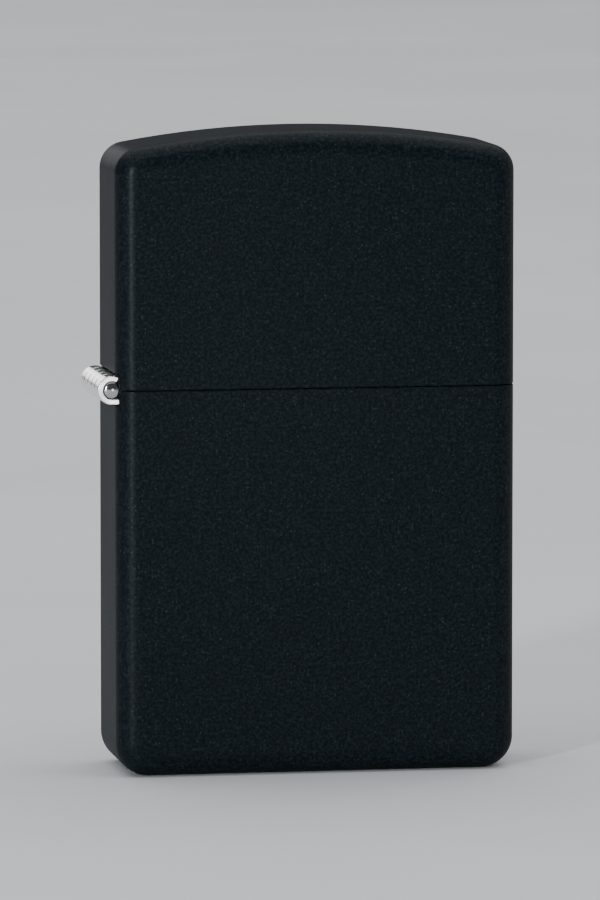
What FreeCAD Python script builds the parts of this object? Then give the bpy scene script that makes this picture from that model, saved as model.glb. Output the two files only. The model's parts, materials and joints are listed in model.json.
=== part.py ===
import FreeCAD, Part
import Sketcher
import os
import re

# Windproof petrol lighter, closed. Millimetres, +Z up, front towards -Y, hinge on the -X side.
# The origin is the middle of the flat bottom face that the lighter stands on.

doc = FreeCAD.newDocument("Lighter")

# ---------------------------------------------------------------- driving dimensions
DRIVING = [
    ("case_w", 35.8, "width of the case without its hinge"),
    ("case_t", 12.7, "thickness of the case, front to back"),
    ("body_h", 34.4, "height of the seam above the base"),
    ("lid_h", 22.75, "height of the lid above the seam, at the crown"),
    ("wall", 0.65, "sheet thickness of case and lid"),
    ("crown_r", 90.0, "radius of the lid's arched top"),
    ("top_corner", 2.35, "corner radius of the lid seen from the front"),
    ("bottom_corner", 2.85, "corner radius of the case bottom seen from the front"),
    ("edge_round", 2.0, "rounding of the front and back edges"),
    ("seam_gap", 0.06, "gap between case and lid"),
    ("rim_round", 0.12, "rounding of the two rims at the seam"),
    ("foot_rim", 1.0, "width of the rim that the case stands on"),
    ("foot_recess", 0.25, "depth of the panel inside that rim"),
    ("knuckle_r", 1.28, "outer radius of the hinge barrel"),
    ("strip_t", 0.5, "thickness of the hinge strip"),
    ("pin_fit", 0.04, "radial clearance of the hinge pin"),
    ("hinge_out", 0.35, "hinge axis outside the case wall"),
    ("barrel_inset", 1.15, "barrel end inside the front and back faces"),
    ("knuckle_gap", 0.1, "gap between neighbouring knuckles"),
    ("knuckle_wrap", 210.0, "how far the strip is rolled round the pin, degrees"),
    ("notch_clear", 0.15, "clearance of the barrel in the notches of the walls"),
    ("notch_end", 0.1, "notches longer than the barrel at each end, and deeper than the leaf"),
    ("leaf_len", 8.5, "length of the hinge leaves inside case and lid"),
    ("leaf_side_clear", 0.05, "leaf clear of the rounded inside corners"),
    ("leaf_clear", 0.3, "insert clear of the hinge leaf"),
    ("side_clear", 0.4, "insert clear of the case on the side away from the hinge"),
    ("face_clear", 0.2, "insert clear of the case at front and back"),
    ("seat_clear", 0.25, "insert clear of the rounded case bottom"),
    ("sheet_t", 0.4, "sheet thickness of the fuel tank"),
    ("tank_round", 1.4, "corner radius of the fuel tank seen from above"),
    ("insert_rise", 1.0, "top plate of the insert above the seam"),
    ("plate_t", 0.5, "thickness of the top plate"),
    ("screen_t", 0.5, "sheet thickness of the wind screen"),
    ("screen_half", 3.6, "half the depth of the wind screen"),
    ("screen_round", 1.2, "corner radius of the wind screen seen from above"),
    ("screen_head", 4.5, "room between the wind screen and the top of the lid"),
    ("screen_inset", 9.2, "wind screen inside the hinge end of the tank"),
    ("vent_r", 0.85, "radius of the vent holes"),
    ("vent_pitch", 3.2, "pitch of the vent holes"),
    ("vent_edge", 2.4, "least distance of a vent hole's centre from the screen's ends"),
    ("vent_drop", 3.0, "top row of vent holes below the screen's top"),
    ("wheel_r", 3.4, "radius over the teeth of the spark wheel"),
    ("wheel_rise", 8.9, "wheel axle above the top plate"),
    ("wheel_inset", 7.8, "wheel axle inside the far end of the tank"),
    ("wheel_half", 2.2, "half the width of the toothed band"),
    ("hub_r", 2.5, "radius of the wheel's hubs"),
    ("hub_out", 0.65, "how far each hub stands out of the band"),
    ("tooth_depth", 0.38, "depth of the wheel's teeth"),
    ("tooth_foot", 0.02, "bottom of a tooth gap beside its straight side"),
    ("tooth_slope", 0.9, "run of a tooth's sloping side, as a share of its depth"),
    ("tooth_back", 0.04, "how far a tooth's straight side leans over"),
    ("tooth_count", 36, "number of the wheel's teeth"),
    ("axle_r", 0.8, "radius of the wheel axle"),
    ("axle_fit", 0.05, "radial clearance of the wheel on its axle"),
    ("rivet_fit", 0.02, "radial clearance of rivets in their sheet"),
    ("axle_head_r", 1.35, "radius of the axle's riveted heads"),
    ("head_t", 0.45, "thickness of the riveted heads"),
    ("ear_r", 2.0, "radius of the ears round the wheel axle"),
    ("ear_flat", 0.6, "half the flat top of an ear, as a share of its radius"),
    ("ear_shoulder", 0.5, "height of an ear's outer shoulder over the axle, as a share of its radius"),
    ("ear_foot", 0.5, "ears wider at the plate than at the axle"),
    ("slope_out", 0.7, "foot of the screen's slope beyond its wheel end"),
    ("slope_up", 1.4, "foot of the screen's slope above the ears"),
    ("wheel_room", 1.4, "wind screen's upright end clear of the wheel"),
    ("flint_r", 1.2, "radius of the flint"),
    ("flint_len", 5.0, "length of the flint"),
    ("flint_fit", 0.1, "radial clearance of the flint in its tube"),
    ("flint_gap", 0.08, "flint clear of the wheel's teeth"),
    ("tube_wall", 0.8, "wall of the flint tube"),
    ("tube_below", 1.4, "flint tube ends this far under the wheel"),
    ("tube_foot", 1.75, "flint tube ends this far above the tank's open bottom"),
    ("screw_head_r", 2.6, "radius of the flint screw's head"),
    ("screw_head_t", 1.1, "thickness of the flint screw's head"),
    ("screw_shank", 5.0, "length of the flint screw's shank"),
    ("thread_fit", 0.05, "radial clearance of the flint screw's thread"),
    ("slot_w", 0.8, "width of the flint screw's slot"),
    ("slot_deep", 0.6, "depth of the flint screw's slot"),
    ("plunger_head", 1.5, "length of the plunger's head under the flint"),
    ("plunger_stem", 2.0, "length of the plunger's stem inside the spring"),
    ("plunger_stem_r", 0.6, "radius of the plunger's stem"),
    ("spring_wire", 0.35, "wire diameter of the flint spring"),
    ("spring_turns", 14, "turns of the flint spring"),
    ("spring_fit", 0.15, "radial clearance of the flint spring in its tube"),
    ("spring_clear", 0.03, "flint spring's wire clear of its two seats"),
    ("felt_t", 2.4, "thickness of the felt pad"),
    ("felt_up", 0.15, "felt pad above the tank's open bottom"),
    ("felt_clear", 0.12, "felt pad clear of the tank's wall"),
    ("felt_hole_r", 3.1, "radius of the hole for the flint screw"),
    ("wick_r", 1.3, "radius of the wick"),
    ("wick_hole_clear", 0.25, "radial clearance of the wick in the top plate"),
    ("wick_below", 5.5, "wick ends this far under the screen's top"),
    ("wick_side", 1.5, "last run of the wick clear of the tank's hinge end"),
    ("wick_floor", 1.6, "wick clear of the felt pad"),
    ("wick_head", 2.6, "upper bend of the wick clear of the top plate"),
    ("packing_clear", 0.3, "cotton clear of its neighbours"),
    ("packing_round", 1.2, "rounding of the cotton lumps"),
    ("packing_swell", 0.1, "end lumps of cotton pressed out towards the tank's ends"),
    ("packing_lap", 0.3, "first lump of cotton pressed against the wick"),
    ("lump_share", 0.4, "most rounding of a narrow lump, as a share of its width"),
    ("fold_clear", 0.9, "cotton clear of the wick's folds"),
    ("cam_inset", 3.2, "cam rivet inside the hinge end of the tank"),
    ("cam_rise", 2.6, "cam rivet above the top plate"),
    ("cam_hub_r", 1.4, "radius of the cam round its rivet"),
    ("cam_reach", 4.1, "length of the cam's nose from its rivet"),
    ("cam_lean", 0.6, "run of the cam's nose towards the hinge, as a share of its length"),
    ("cam_nose_r", 0.7, "radius of the cam's nose"),
    ("cam_half", 1.5, "half the width of the cam"),
    ("cam_fit", 0.05, "radial clearance of the cam on its rivet"),
    ("lug_gap", 0.1, "cam clear of the lugs that hold it"),
    ("lug_t", 0.5, "thickness of the lugs"),
    ("lug_half", 1.5, "half the length of the lugs"),
    ("lug_curve", 0.9, "rounding of a lug's top, as a share of half its length"),
    ("cam_rivet_r", 0.5, "radius of the cam rivet"),
    ("small_head_r", 0.9, "radius of the small rivets' heads"),
    ("leaf_spring_t", 0.3, "thickness of the cam's leaf spring"),
    ("leaf_spring_half", 1.3, "half the width of the leaf spring"),
    ("leaf_spring_clear", 0.05, "leaf spring clear of the cam's hub"),
    ("spring_rivet_out", 4.2, "leaf spring's rivet from the cam rivet"),
    ("strip_tip", 0.7, "leaf spring beyond the cam rivet"),
    ("strip_rise", 0.9, "where the leaf spring begins to come down, from the cam rivet"),
    ("strip_seat", 1.6, "flat end of the leaf spring, from its rivet towards the cam"),
    ("strip_bend", 0.1, "top of each bend in the leaf spring past its underside"),
]

# ---------------------------------------------------------------- sizes that follow from them
DERIVED = [
    ("case_h", "body_h + lid_h"),
    ("half_w", "case_w / 2"),
    ("half_t", "case_t / 2"),
    ("hollow_x", "half_w - wall"),
    ("hollow_y", "half_t - wall"),
    ("hinge_x", "-(half_w + hinge_out)"),
    ("barrel_half", "half_t - barrel_inset"),
    ("knuckle_len", "(2 * barrel_half - 4 * knuckle_gap) / 5"),
    ("bore_r", "knuckle_r - strip_t"),
    ("pin_r", "bore_r - pin_fit"),
    ("notch_r", "knuckle_r + notch_clear"),
    ("leaf_face", "strip_t - hollow_x"),
    ("leaf_half", "hollow_y - (edge_round - wall) - leaf_side_clear"),
    ("tank_left", "leaf_face + leaf_clear"),
    ("tank_right", "hollow_x - side_clear"),
    ("tank_half", "hollow_y - face_clear"),
    ("inner_corner", "bottom_corner - wall"),
    ("tank_bottom", "bottom_corner - sqrt(inner_corner ^ 2 - (inner_corner - side_clear) ^ 2) + seat_clear"),
    ("plate_top", "body_h + insert_rise"),
    ("plate_under", "plate_top - plate_t"),
    ("screen_top", "case_h - wall - screen_head"),
    ("screen_left", "tank_left + screen_inset"),
    ("flint_x", "tank_right - wheel_inset"),
    ("screen_right", "flint_x - wheel_r - wheel_room"),
    ("wheel_z", "plate_top + wheel_rise"),
    ("wheel_bore_r", "axle_r + axle_fit"),
    ("hub_face", "wheel_half + hub_out"),
    ("tube_bore_r", "flint_r + flint_fit"),
    ("tube_r", "tube_bore_r + tube_wall"),
    ("tube_top", "wheel_z - wheel_r - tube_below"),
    ("tube_bottom", "tank_bottom + tube_foot"),
    ("flint_top", "wheel_z - wheel_r - flint_gap"),
    ("flint_bottom", "flint_top - flint_len"),
    ("plunger_bottom", "flint_bottom - plunger_head"),
    ("shank_top", "tube_bottom + screw_shank"),
    ("coil_r", "tube_bore_r - spring_fit - spring_wire / 2"),
    ("spring_low", "shank_top + spring_wire / 2 + spring_clear"),
    ("spring_high", "plunger_bottom - spring_wire / 2 - spring_clear"),
    ("felt_bottom", "tank_bottom + felt_up"),
    ("felt_top", "felt_bottom + felt_t"),
    ("wick_x", "(screen_left + screen_right) / 2"),
    ("wick_end_x", "tank_left + sheet_t + wick_side + wick_r"),
    ("wick_bend", "(wick_x - wick_end_x) / 4"),
    ("wick_low", "felt_top + wick_floor + wick_r + wick_bend"),
    ("wick_high", "plate_under - wick_head - wick_r - wick_bend"),
    ("wick_top", "screen_top - wick_below"),
    ("cam_x", "tank_left + cam_inset"),
    ("cam_z", "plate_top + cam_rise"),
    ("cam_climb", "sqrt(1 - cam_lean ^ 2)"),
    ("lug_in", "cam_half + lug_gap"),
    ("lug_out", "lug_in + lug_t"),
    ("spring_rivet_x", "cam_x + spring_rivet_out"),
]

driving = doc.addObject("Spreadsheet::Sheet", "Driving")
for row, (alias, value, meaning) in enumerate(DRIVING, start=1):
    driving.set(f"A{row}", meaning)
    driving.set(f"B{row}", str(value))
    driving.setAlias(f"B{row}", alias)
home = {alias: "Driving" for alias, value, meaning in DRIVING}
doc.recompute()


def bound(text):
    """The text with each named size turned into a reference to its sheet."""
    return re.sub(r"[a-z_]+", lambda word: f"{home[word[0]]}.{word[0]}" if word[0] in home else word[0], text)


derived = doc.addObject("Spreadsheet::Sheet", "Derived")
for row, (alias, formula) in enumerate(DERIVED, start=1):
    derived.set(f"A{row}", alias.replace("_", " "))
    derived.set(f"B{row}", "=" + bound(formula).replace("Derived.", ""))
    derived.setAlias(f"B{row}", alias)
    home[alias] = "Derived"
    doc.recompute()


def number(text):
    """The present value of an expression in the named sizes."""
    return float(derived.evalExpression(bound(text)))


def bind(item, prop, text):
    """Ties one property of a document object to the named sizes."""
    item.setExpression(prop, bound(text))


# ---------------------------------------------------------------- helpers for plain shapes
ALONG_Y = FreeCAD.Rotation(FreeCAD.Vector(1, 0, 0), -90)


def place(item, x, y, z):
    bind(item, "Placement.Base.x", x)
    bind(item, "Placement.Base.y", y)
    bind(item, "Placement.Base.z", z)


def box(name, x, y, z):
    """A block between two limits along each axis."""
    block = doc.addObject("Part::Box", name)
    bind(block, "Length", f"({x[1]}) - ({x[0]})")
    bind(block, "Width", f"({y[1]}) - ({y[0]})")
    bind(block, "Height", f"({z[1]}) - ({z[0]})")
    place(block, x[0], y[0], z[0])
    return block


def post(name, radius, x, y, z):
    """An upright cylinder between two heights."""
    rod = doc.addObject("Part::Cylinder", name)
    bind(rod, "Radius", radius)
    bind(rod, "Height", f"({z[1]}) - ({z[0]})")
    place(rod, x, y, z[0])
    return rod


def axle(name, radius, x, y, z):
    """A cylinder along Y between two limits."""
    rod = doc.addObject("Part::Cylinder", name)
    rod.Placement = FreeCAD.Placement(FreeCAD.Vector(), ALONG_Y)
    bind(rod, "Radius", radius)
    bind(rod, "Height", f"({y[1]}) - ({y[0]})")
    place(rod, x, y[0], z)
    return rod


def fuse(name, pieces):
    joined = doc.addObject("Part::MultiFuse", name)
    joined.Shapes = pieces
    joined.Refine = True
    return joined


def cut(name, base, tools):
    """The base without the tools, one after the other."""
    tool = tools[0] if len(tools) == 1 else fuse(name + "_tools", tools)
    rest = doc.addObject("Part::Cut", name)
    rest.Base = base
    rest.Tool = tool
    rest.Refine = True
    return rest


def common(name, base, tool):
    shared = doc.addObject("Part::Common", name)
    shared.Base = base
    shared.Tool = tool
    return shared


def rounded(name, base, radius, wanted):
    """The base with the wanted edges rounded."""
    doc.recompute()
    soft = doc.addObject("Part::Fillet", name)
    soft.Base = base
    edges = enumerate(base.Shape.Edges, start=1)
    soft.Edges = [(index, radius, radius) for index, edge in edges if wanted(edge)]
    return soft


def upright(edge):
    box_of = edge.BoundBox
    return box_of.ZLength > 1e-3 and box_of.XLength < 1e-3 and box_of.YLength < 1e-3


def every(edge):
    return True


def rounded_block(name, x, y, z, radius):
    """A block whose four upright edges are rounded."""
    return rounded(name, box(name + "_block", x, y, z), radius, upright)


# ---------------------------------------------------------------- helpers for bodies
def new_body(name):
    return doc.addObject("PartDesign::Body", name)


def origin(body, role):
    return [item for item in body.Origin.OriginFeatures if item.Role == role][0]


def new_sketch(body, name, role):
    drawing = body.newObject("Sketcher::SketchObject", name)
    drawing.AttachmentSupport = [(origin(body, role), "")]
    drawing.MapMode = "FlatFace"
    return drawing


def pin_point(drawing, curve, end, across, up):
    """Ties a point of a sketch to its two distances from the origin."""
    for kind, text in (("DistanceX", across), ("DistanceY", up)):
        index = drawing.addConstraint(Sketcher.Constraint(kind, -1, 1, curve, end, number(text)))
        bind(drawing, f"Constraints[{index}]", text)


def outline(body, name, role, corners):
    """A closed outline of straight lines through the corners."""
    drawing = new_sketch(body, name, role)
    spots = [FreeCAD.Vector(number(across), number(up), 0) for across, up in corners]
    count = len(spots)
    for index in range(count):
        drawing.addGeometry(Part.LineSegment(spots[index], spots[(index + 1) % count]), False)
    for index in range(count):
        drawing.addConstraint(Sketcher.Constraint("Coincident", index, 2, (index + 1) % count, 1))
    for index, (across, up) in enumerate(corners):
        pin_point(drawing, index, 1, across, up)
    return drawing


def circle(drawing, across, up, radius):
    centre = FreeCAD.Vector(number(across), number(up), 0)
    ring = Part.Circle(centre, FreeCAD.Vector(0, 0, 1), number(radius))
    index = drawing.addGeometry(ring, False)
    size = drawing.addConstraint(Sketcher.Constraint("Radius", index, number(radius)))
    bind(drawing, f"Constraints[{size}]", radius)
    pin_point(drawing, index, 3, across, up)


def pad_both_ways(body, name, drawing, length):
    """A pad of the whole length, half to each side of the sketch."""
    pad = body.newObject("PartDesign::Pad", name)
    pad.Profile = drawing
    pad.SideType = "Symmetric"
    bind(pad, "Length", length)
    body.Tip = pad
    doc.recompute()
    return pad


def round_body(body, name, radius, wanted):
    """Rounds the wanted edges of a body's present tip."""
    tip = body.Tip
    soft = body.newObject("PartDesign::Fillet", name)
    edges = enumerate(tip.Shape.Edges, start=1)
    soft.Base = (tip, [f"Edge{index}" for index, edge in edges if wanted(edge)])
    bind(soft, "Radius", radius)
    body.Tip = soft
    doc.recompute()
    return soft


# ---------------------------------------------------------------- case and lid
def case_block(name, inside):
    """The rounded block of the closed lighter, or of its hollow, one wall further in."""
    body = new_body(name)
    side = f"half_w - {inside}"
    low = inside
    arch = f"crown_r - {inside}"
    shoulder = f"case_h - crown_r + sqrt(({arch}) ^ 2 - ({side}) ^ 2)"
    drawing = new_sketch(body, name + "_outline", "XZ_Plane")
    left, right = number(f"-({side})"), number(side)
    floor, top = number(low), number(shoulder)
    spots = [(left, top), (left, floor), (right, floor), (right, top)]
    spots = [FreeCAD.Vector(across, up, 0) for across, up in spots]
    for start, end in zip(spots, spots[1:]):
        drawing.addGeometry(Part.LineSegment(start, end), False)
    summit = FreeCAD.Vector(0, number(f"case_h - {inside}"), 0)
    crown = drawing.addGeometry(Part.Arc(spots[3], summit, spots[0]), False)
    drawing.addConstraint(Sketcher.Constraint("Coincident", 0, 2, 1, 1))
    drawing.addConstraint(Sketcher.Constraint("Coincident", 1, 2, 2, 1))
    drawing.addConstraint(Sketcher.Constraint("Coincident", 2, 2, crown, 1))
    drawing.addConstraint(Sketcher.Constraint("Coincident", 0, 1, crown, 2))
    pin_point(drawing, 0, 2, f"-({side})", low)
    pin_point(drawing, 1, 2, side, low)
    pin_point(drawing, 0, 1, f"-({side})", shoulder)
    pin_point(drawing, 2, 2, side, shoulder)
    arc_size = drawing.addConstraint(Sketcher.Constraint("Radius", crown, number(arch)))
    bind(drawing, f"Constraints[{arc_size}]", arch)
    pad_both_ways(body, name + "_pad", drawing, f"case_t - 2 * {inside}")
    middle = number("body_h")

    def crosswise(edge):
        return edge.BoundBox.YLength > 1 and edge.BoundBox.ZLength < 1e-3

    def top_corners(edge):
        return crosswise(edge) and edge.CenterOfMass.z > middle

    def bottom_corners(edge):
        return crosswise(edge) and edge.CenterOfMass.z < middle

    face = number(f"half_t - {inside}")

    def face_edges(edge):
        return edge.BoundBox.YLength < 1e-3 and abs(abs(edge.CenterOfMass.y) - face) < 1e-3

    round_body(body, name + "_top_corners", f"top_corner - {inside}", top_corners)
    round_body(body, name + "_bottom_corners", f"bottom_corner - {inside}", bottom_corners)
    round_body(body, name + "_face_edges", f"edge_round - {inside}", face_edges)
    return body


outer_block = case_block("outer_block", "0")
inner_block = case_block("inner_block", "wall")
BEYOND = "half_w + 5"
ACROSS = ("-(half_t + 5)", "half_t + 5")


def half_shell(name, low, high, rim):
    """Case or lid: its half of the outer block, rim rounded, without the hollow."""
    room = box(name + "_room", ("-(" + BEYOND + ")", BEYOND), ACROSS, (low, high))
    solid = common(name + "_solid", outer_block, room)
    rim_height = number(rim)

    def at_rim(edge):
        return edge.BoundBox.ZLength < 1e-3 and abs(edge.CenterOfMass.z - rim_height) < 1e-3

    soft = rounded(name + "_rim", solid, number("rim_round"), at_rim)
    notch = box(name + "_notch", ("-(" + BEYOND + ")", "leaf_face + notch_end"),
                ("-(barrel_half + notch_end)", "barrel_half + notch_end"), ("body_h - notch_r", "body_h + notch_r"))
    return soft, [inner_block, notch]


case_solid, case_tools = half_shell("case_half", "-1", "body_h - seam_gap / 2", "body_h - seam_gap / 2")
foot_x = "half_w - bottom_corner - foot_rim"
foot_y = "half_t - edge_round - foot_rim"
panel = rounded_block("foot_panel", ("-(" + foot_x + ")", foot_x), ("-(" + foot_y + ")", foot_y),
                      ("-1", "foot_recess"), number("foot_rim"))
case_bottom = cut("case_bottom", case_solid, case_tools + [panel])

lid_solid, lid_tools = half_shell("lid_half", "body_h + seam_gap / 2", "case_h + 1", "body_h + seam_gap / 2")
lid = cut("lid", lid_solid, lid_tools)


# ---------------------------------------------------------------- hinge
# Five knuckles on one pin: 0, 2 and 4 belong to the case's leaf, 1 and 3 to the lid's.
def hinge_leaf(name, knuckles, side):
    """A leaf and its knuckles. side is -1 for the case's leaf, below the axis, and 1 for the lid's."""
    start = 90 if side < 0 else 270 - number("knuckle_wrap")
    turn = ALONG_Y.multiply(FreeCAD.Rotation(FreeCAD.Vector(0, 0, 1), start))
    edge, inner = f"body_h + ({side}) * knuckle_r", f"body_h + ({side}) * bore_r"
    far = f"body_h + ({side}) * (knuckle_r + leaf_len)"
    pieces = []
    for number_of in knuckles:
        near_end = f"{number_of} * (knuckle_len + knuckle_gap) - barrel_half"
        far_end = f"{near_end} + knuckle_len"
        roll = axle(f"{name}_roll_{number_of}", "knuckle_r", "hinge_x", (near_end, far_end), "body_h")
        roll.Placement = FreeCAD.Placement(FreeCAD.Vector(), turn)
        bind(roll, "Angle", "knuckle_wrap")
        tail_z = (edge, inner) if side < 0 else (inner, edge)
        tail = box(f"{name}_tail_{number_of}", ("hinge_x", "leaf_face"), (near_end, far_end), tail_z)
        pieces += [roll, tail]
    plate_z = (far, edge) if side < 0 else (edge, far)
    plate = box(name + "_plate", ("-hollow_x", "leaf_face"), ("-leaf_half", "leaf_half"), plate_z)
    bore = axle(name + "_bore", "bore_r", "hinge_x", ("-half_t", "half_t"), "body_h")
    return cut(name, fuse(name + "_rolled", pieces + [plate]), [bore])


hinge_leaf_case = hinge_leaf("hinge_leaf_case", (0, 2, 4), -1)
hinge_leaf_lid = hinge_leaf("hinge_leaf_lid", (1, 3), 1)
hinge_pin = axle("hinge_pin", "pin_r", "hinge_x", ("-barrel_half", "barrel_half"), "body_h")

# ---------------------------------------------------------------- insert: tank, top plate and wind screen
TANK_X = ("tank_left", "tank_right")
TANK_Y = ("-tank_half", "tank_half")
tank_outside = rounded_block("tank_outside", TANK_X, TANK_Y, ("tank_bottom", "plate_under"),
                             number("tank_round"))
tank_inside = rounded_block("tank_inside", ("tank_left + sheet_t", "tank_right - sheet_t"),
                            ("-(tank_half - sheet_t)", "tank_half - sheet_t"),
                            ("tank_bottom - 1", "plate_under + 1"), number("tank_round - sheet_t"))
insert_tank = cut("insert_tank", tank_outside, [tank_inside])

# The screen's two sides slope down to the ears that carry the wheel axle.
screen = new_body("screen")
side_view = outline(screen, "screen_side", "XZ_Plane", [
    ("screen_left", "plate_under"),
    ("screen_left", "screen_top"),
    ("screen_right", "screen_top"),
    ("screen_right + slope_out", "wheel_z + ear_r + slope_up"),
    ("flint_x - ear_r * ear_flat", "wheel_z + ear_r"),
    ("flint_x + ear_r * ear_flat", "wheel_z + ear_r"),
    ("flint_x + ear_r", "wheel_z + ear_r * ear_shoulder"),
    ("flint_x + ear_r + ear_foot", "plate_under"),
])
pad_both_ways(screen, "screen_pad", side_view, "2 * screen_half")
screen_back = number("screen_left")


def back_corners(edge):
    return upright(edge) and abs(edge.CenterOfMass.x - screen_back) < 1e-3


round_body(screen, "screen_corners", "screen_round", back_corners)
flue = rounded("flue", box("flue_block", ("screen_left + screen_t", "half_w"),
                           ("-(screen_half - screen_t)", "screen_half - screen_t"),
                           ("plate_top", "case_h")),
               number("screen_round - screen_t"),
               lambda edge: upright(edge) and edge.CenterOfMass.x < number("wick_x"))
top_plate = rounded_block("top_plate", TANK_X, TANK_Y, ("plate_under", "plate_top"), number("tank_round"))


def rounded_lug(name, inner, outer):
    """One of the two lugs between which the cam turns."""
    lug = box(name + "_block", ("cam_x - lug_half", "cam_x + lug_half"), (inner, outer),
              ("plate_under", "cam_z + lug_half"))
    top = number("cam_z + lug_half")

    def shoulders(edge):
        return edge.BoundBox.YLength > 1e-3 and edge.BoundBox.XLength < 1e-3 and abs(edge.CenterOfMass.z - top) < 1e-3

    return rounded(name, lug, number("lug_half * lug_curve"), shoulders)


lugs = [rounded_lug("front_lug", "-lug_out", "-lug_in"), rounded_lug("back_lug", "lug_in", "lug_out")]

# Vent holes go through both sides in rows of three, two and three, as many columns as fit.
holes = []
columns = int(number("(screen_right - screen_left - 2 * vent_edge) / vent_pitch")) + 1
for row in range(3):
    in_row = columns - row % 2
    for column in range(in_row):
        shift = column - (in_row - 1) / 2
        holes.append(axle(f"vent_{row}_{column}", "vent_r", f"wick_x + ({shift}) * vent_pitch",
                          ("-half_t", "half_t"), f"screen_top - vent_drop - {row} * vent_pitch"))
holes.append(axle("ear_holes", "axle_r + rivet_fit", "flint_x", ("-half_t", "half_t"), "wheel_z"))
holes.append(axle("lug_holes", "cam_rivet_r + rivet_fit", "cam_x", ("-half_t", "half_t"), "cam_z"))
holes.append(post("wick_hole", "wick_r + wick_hole_clear", "wick_x", "0", ("plate_under - 1", "plate_top + 1")))
holes.append(post("tube_hole", "tube_r + rivet_fit", "flint_x", "0", ("plate_under - 1", "plate_top + 1")))
holes.append(post("spring_rivet_hole", "cam_rivet_r + rivet_fit", "spring_rivet_x", "0",
                  ("plate_under - 1", "plate_top + 1")))
screen_sheet = cut("screen_sheet", screen, [flue])
chimney = cut("chimney", fuse("chimney_solid", [screen_sheet, top_plate] + lugs), holes)

# ---------------------------------------------------------------- flint and what presses it up
flint_tube = cut("flint_tube", post("tube_outside", "tube_r", "flint_x", "0", ("tube_bottom", "tube_top")),
                 [post("tube_bore", "tube_bore_r", "flint_x", "0", ("tube_bottom - 1", "tube_top + 1"))])
flint = post("flint", "flint_r", "flint_x", "0", ("flint_bottom", "flint_top"))
flint_plunger = fuse("flint_plunger", [
    post("plunger_head_rod", "flint_r", "flint_x", "0", ("plunger_bottom", "flint_bottom")),
    post("plunger_stem_rod", "plunger_stem_r", "flint_x", "0", ("plunger_bottom - plunger_stem", "plunger_bottom")),
])

screw_parts = fuse("screw_parts", [
    post("screw_head", "screw_head_r", "flint_x", "0", ("tube_bottom - screw_head_t", "tube_bottom")),
    post("screw_rod", "tube_bore_r - thread_fit", "flint_x", "0", ("tube_bottom", "shank_top")),
])
slot = box("screw_slot", ("flint_x - half_t", "flint_x + half_t"), ("-slot_w / 2", "slot_w / 2"),
           ("tube_bottom - screw_head_t - 1", "tube_bottom - screw_head_t + slot_deep"))
flint_screw = cut("flint_screw", screw_parts, [slot])

flint_spring = new_body("flint_spring")
wire = new_sketch(flint_spring, "spring_wire_section", "XZ_Plane")
circle(wire, "coil_r", "0", "spring_wire / 2")
coil = flint_spring.newObject("PartDesign::AdditiveHelix", "spring_coil")
coil.Profile = wire
coil.ReferenceAxis = (origin(flint_spring, "Z_Axis"), [""])
coil.Mode = "pitch-height-angle"
bind(coil, "Height", "spring_high - spring_low")
bind(coil, "Pitch", "(spring_high - spring_low) / spring_turns")
flint_spring.Tip = coil
place(flint_spring, "flint_x", "0", "spring_low")

# ---------------------------------------------------------------- spark wheel and its axle
flint_wheel = new_body("flint_wheel")
disc = new_sketch(flint_wheel, "wheel_disc_circle", "XZ_Plane")
circle(disc, "0", "0", "wheel_r")
pad_both_ways(flint_wheel, "wheel_disc", disc, "2 * wheel_half")
hub = new_sketch(flint_wheel, "wheel_hub_circle", "XZ_Plane")
circle(hub, "0", "0", "hub_r")
pad_both_ways(flint_wheel, "wheel_hub", hub, "2 * hub_face")
tooth = outline(flint_wheel, "tooth_gap", "XZ_Plane", [
    ("tooth_foot", "wheel_r - tooth_depth"),
    ("tooth_depth * tooth_slope", "wheel_r + tooth_depth"),
    ("-tooth_back", "wheel_r + tooth_depth"),
])
gap = flint_wheel.newObject("PartDesign::Pocket", "tooth_gap_cut")
gap.Profile = tooth
gap.SideType = "Symmetric"
bind(gap, "Length", "4 * wheel_half")
flint_wheel.Tip = gap
doc.recompute()
teeth = flint_wheel.newObject("PartDesign::PolarPattern", "teeth")
teeth.Originals = [gap]
teeth.Axis = (origin(flint_wheel, "Y_Axis"), [""])
teeth.Angle = 360
bind(teeth, "Occurrences", "tooth_count")
flint_wheel.Tip = teeth
doc.recompute()
bore_circle = new_sketch(flint_wheel, "wheel_bore_circle", "XZ_Plane")
circle(bore_circle, "0", "0", "wheel_bore_r")
wheel_bore = flint_wheel.newObject("PartDesign::Pocket", "wheel_bore")
wheel_bore.Profile = bore_circle
wheel_bore.SideType = "Symmetric"
bind(wheel_bore, "Length", "4 * hub_face")
flint_wheel.Tip = wheel_bore
place(flint_wheel, "flint_x", "0", "wheel_z")


def riveted(name, radius, head, x, z, reach):
    """A rivet along Y through two sheets, with a head against the outside of each."""
    return fuse(name, [
        axle(name + "_shank", radius, x, (f"-({reach})", reach), z),
        axle(name + "_front_head", head, x, (f"-({reach}) - head_t", f"-({reach})"), z),
        axle(name + "_back_head", head, x, (reach, f"({reach}) + head_t"), z),
    ])


wheel_axle = riveted("wheel_axle", "axle_r", "axle_head_r", "flint_x", "wheel_z", "screen_half")
cam_rivet = riveted("cam_rivet", "cam_rivet_r", "small_head_r", "cam_x", "cam_z", "lug_out")

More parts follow.
